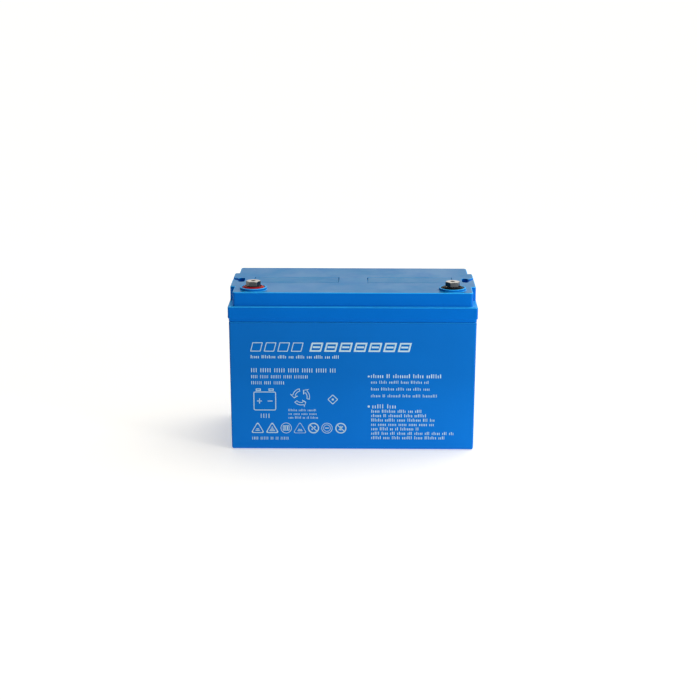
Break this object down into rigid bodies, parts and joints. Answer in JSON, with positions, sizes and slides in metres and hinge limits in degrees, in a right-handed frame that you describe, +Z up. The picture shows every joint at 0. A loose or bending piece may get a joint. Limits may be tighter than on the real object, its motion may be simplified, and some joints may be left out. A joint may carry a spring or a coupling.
{
  "type": "deep cycle battery",
  "caption": "Sealed rectangular deep cycle battery: tub container, stepped lid with strap pockets and flush vent covers, and bolted screw terminals at the front corners.",
  "frame": {"origin": "middle of the flat base", "axes": "+X along the length, from the positive terminal's end to the negative one's; -Y is the front, the side nearest the terminals; +Z up"},
  "size_m": [0.328, 0.172, 0.2253],
  "materials": {
    "case_blue": "satin moulded ABS",
    "lid_blue": "satin moulded ABS",
    "cover_blue": "satin moulded ABS",
    "valve_rubber": "matt moulded rubber",
    "seal_red": "glossy sealing resin",
    "seal_black": "glossy sealing resin",
    "bright_steel": "zinc plated",
    "terminal_metal": "tinned copper alloy",
    "lead": "dull cast lead",
    "positive_plate": "dull lead dioxide paste",
    "negative_plate": "dull sponge lead",
    "glass_mat": "white glass fibre mat",
    "print_ink": "pale screen print on the front wall, drawn in the visual model only"
  },
  "bodies": {
    "case": {"container": "case_blue", "lid": "lid_blue", "terminal_insert_positive": "terminal_metal", "seal_ring_positive": "seal_red", "o_ring_positive": "valve_rubber", "lead_post_positive": "lead", "terminal_insert_negative": "terminal_metal", "seal_ring_negative": "seal_black", "o_ring_negative": "valve_rubber", "lead_post_negative": "lead", "positive_plates_1": "positive_plate", "negative_plates_1": "negative_plate", "separator_mat_1": "glass_mat", "positive_plates_2": "positive_plate", "negative_plates_2": "negative_plate", "separator_mat_2": "glass_mat", "positive_plates_3": "positive_plate", "negative_plates_3": "negative_plate", "separator_mat_3": "glass_mat", "positive_plates_4": "positive_plate", "negative_plates_4": "negative_plate", "separator_mat_4": "glass_mat", "positive_plates_5": "positive_plate", "negative_plates_5": "negative_plate", "separator_mat_5": "glass_mat", "positive_plates_6": "positive_plate", "negative_plates_6": "negative_plate", "separator_mat_6": "glass_mat", "cell_weld_1_2": "lead", "cell_weld_2_3": "lead", "cell_weld_3_4": "lead", "cell_weld_4_5": "lead", "cell_weld_5_6": "lead"},
    "cover_left": {"vent_cover_left": "cover_blue"},
    "cover_right": {"vent_cover_right": "cover_blue"},
    "valve_1": {"valve_cap_1": "valve_rubber"},
    "valve_2": {"valve_cap_2": "valve_rubber"},
    "valve_3": {"valve_cap_3": "valve_rubber"},
    "valve_4": {"valve_cap_4": "valve_rubber"},
    "valve_5": {"valve_cap_5": "valve_rubber"},
    "valve_6": {"valve_cap_6": "valve_rubber"},
    "washers_positive": {"flat_washer_positive": "bright_steel", "spring_washer_positive": "bright_steel"},
    "bolt_positive": {"terminal_bolt_positive": "bright_steel"},
    "washers_negative": {"flat_washer_negative": "bright_steel", "spring_washer_negative": "bright_steel"},
    "bolt_negative": {"terminal_bolt_negative": "bright_steel"}
  },
  "joints": [
    {"name": "cover_left_lift", "type": "slide", "parent": "case", "child": "cover_left", "axis": [0, 0, 1], "range_m": [0, 0.03]},
    {"name": "cover_right_lift", "type": "slide", "parent": "case", "child": "cover_right", "axis": [0, 0, 1], "range_m": [0, 0.03]},
    {"name": "valve_1_lift", "type": "slide", "parent": "case", "child": "valve_1", "axis": [0, 0, 1], "range_m": [0, 0.0006], "stiffness_N_per_m": 2000, "springref_m": -0.0005},
    {"name": "valve_2_lift", "type": "slide", "parent": "case", "child": "valve_2", "axis": [0, 0, 1], "range_m": [0, 0.0006], "stiffness_N_per_m": 2000, "springref_m": -0.0005},
    {"name": "valve_3_lift", "type": "slide", "parent": "case", "child": "valve_3", "axis": [0, 0, 1], "range_m": [0, 0.0006], "stiffness_N_per_m": 2000, "springref_m": -0.0005},
    {"name": "valve_4_lift", "type": "slide", "parent": "case", "child": "valve_4", "axis": [0, 0, 1], "range_m": [0, 0.0006], "stiffness_N_per_m": 2000, "springref_m": -0.0005},
    {"name": "valve_5_lift", "type": "slide", "parent": "case", "child": "valve_5", "axis": [0, 0, 1], "range_m": [0, 0.0006], "stiffness_N_per_m": 2000, "springref_m": -0.0005},
    {"name": "valve_6_lift", "type": "slide", "parent": "case", "child": "valve_6", "axis": [0, 0, 1], "range_m": [0, 0.0006], "stiffness_N_per_m": 2000, "springref_m": -0.0005},
    {"name": "washers_positive_rise", "type": "slide", "parent": "case", "child": "washers_positive", "axis": [0, 0, 1], "range_m": [0, 0.012]},
    {"name": "bolt_positive_turn", "type": "hinge", "parent": "washers_positive", "child": "bolt_positive", "pos_m": [-0.1313, -0.061, 0.2189], "axis": [0, 0, 1], "range_deg": [0, 2880]},
    {"name": "washers_negative_rise", "type": "slide", "parent": "case", "child": "washers_negative", "axis": [0, 0, 1], "range_m": [0, 0.012]},
    {"name": "bolt_negative_turn", "type": "hinge", "parent": "washers_negative", "child": "bolt_negative", "pos_m": [0.1313, -0.061, 0.2189], "axis": [0, 0, 1], "range_deg": [0, 2880]}
  ],
  "couplings": [
    {"joint": "bolt_positive_turn", "follows": "washers_positive_rise", "rad_per_m": 4188.8},
    {"joint": "bolt_negative_turn", "follows": "washers_negative_rise", "rad_per_m": 4188.8}
  ]
}
